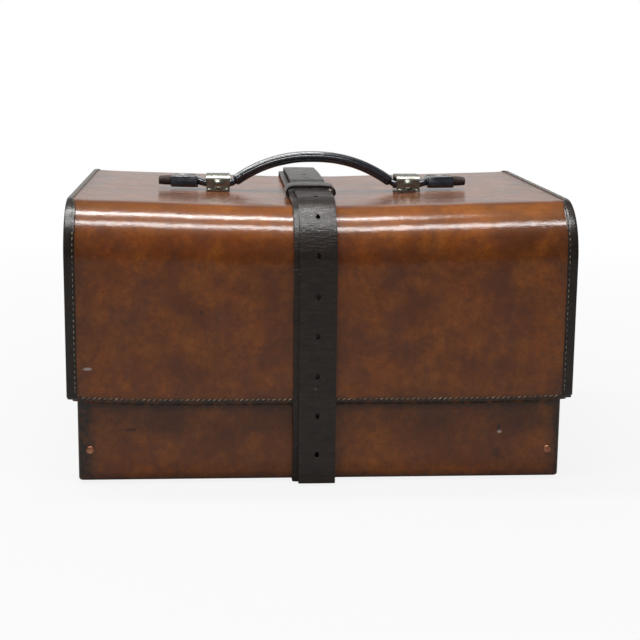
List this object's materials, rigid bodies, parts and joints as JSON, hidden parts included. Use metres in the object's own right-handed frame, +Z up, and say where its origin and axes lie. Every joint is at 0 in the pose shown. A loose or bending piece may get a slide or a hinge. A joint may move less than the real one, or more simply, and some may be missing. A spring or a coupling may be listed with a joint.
{
  "type": "leather travel case",
  "caption": "Leather travel case: a deep telescoping lid over a box base, held by a long buckled strap, with an arched carrying handle on top.",
  "frame": {"origin": "underside of the strap band under the base, below the middle of the case: the point on the floor", "axes": "+X along the case's length, +Y from front to back, +Z up"},
  "size_m": [0.46, 0.373, 0.2914],
  "materials": {
    "case_leather": "glazed, mottled brown",
    "binding_leather": "waxed, near black",
    "strap_leather": "oiled, creased",
    "handle_leather": "polished black",
    "lining_cloth": "glued cotton drill",
    "nickel_brass": "worn nickel plate",
    "copper": "dull copper",
    "plywood": "bare"
  },
  "bodies": {
    "base": {"base_bottom": "case_leather", "base_front_panel": "case_leather", "base_rear_panel": "case_leather", "base_end_left": "case_leather", "base_end_right": "case_leather", "base_rim_binding": "binding_leather", "base_lining": "lining_cloth", "base_corner_braces": "binding_leather", "base_corner_rivets": "copper", "base_rivet_burrs": "copper", "strap_lower": "strap_leather"},
    "lid": {"lid_cover": "case_leather", "lid_end_left": "case_leather", "lid_end_right": "case_leather", "lid_binding_left": "binding_leather", "lid_binding_right": "binding_leather", "lid_facing": "binding_leather", "lid_lining": "lining_cloth", "handle_loop_left": "nickel_brass", "handle_loop_right": "nickel_brass", "loop_studs": "nickel_brass", "loop_pins": "nickel_brass", "loop_plate_left": "plywood", "loop_plate_right": "plywood", "strap_upper": "strap_leather", "strap_tail": "strap_leather", "strap_keeper": "strap_leather", "buckle_frame": "nickel_brass", "buckle_bar": "nickel_brass"},
    "handle": {"handle_core": "handle_leather", "handle_grip": "handle_leather", "handle_tab_left": "handle_leather", "handle_tab_right": "handle_leather", "handle_end_left": "handle_leather", "handle_end_right": "handle_leather"},
    "prong": {"buckle_prong": "nickel_brass"}
  },
  "joints": [
    {"name": "lid_lift", "type": "slide", "parent": "base", "child": "lid", "axis": [0, 0, 1], "range_m": [0, 0.135]},
    {"name": "handle_tilt", "type": "hinge", "parent": "lid", "child": "handle", "pos_m": [0, -0.008, 0.25999], "axis": [1, 0, 0], "range_deg": [-10, 10]},
    {"name": "buckle_prong_swing", "type": "hinge", "parent": "lid", "child": "prong", "pos_m": [-0.0075, 0.1811, 0.15], "axis": [1, 0, 0], "range_deg": [0, 75]}
  ]
}
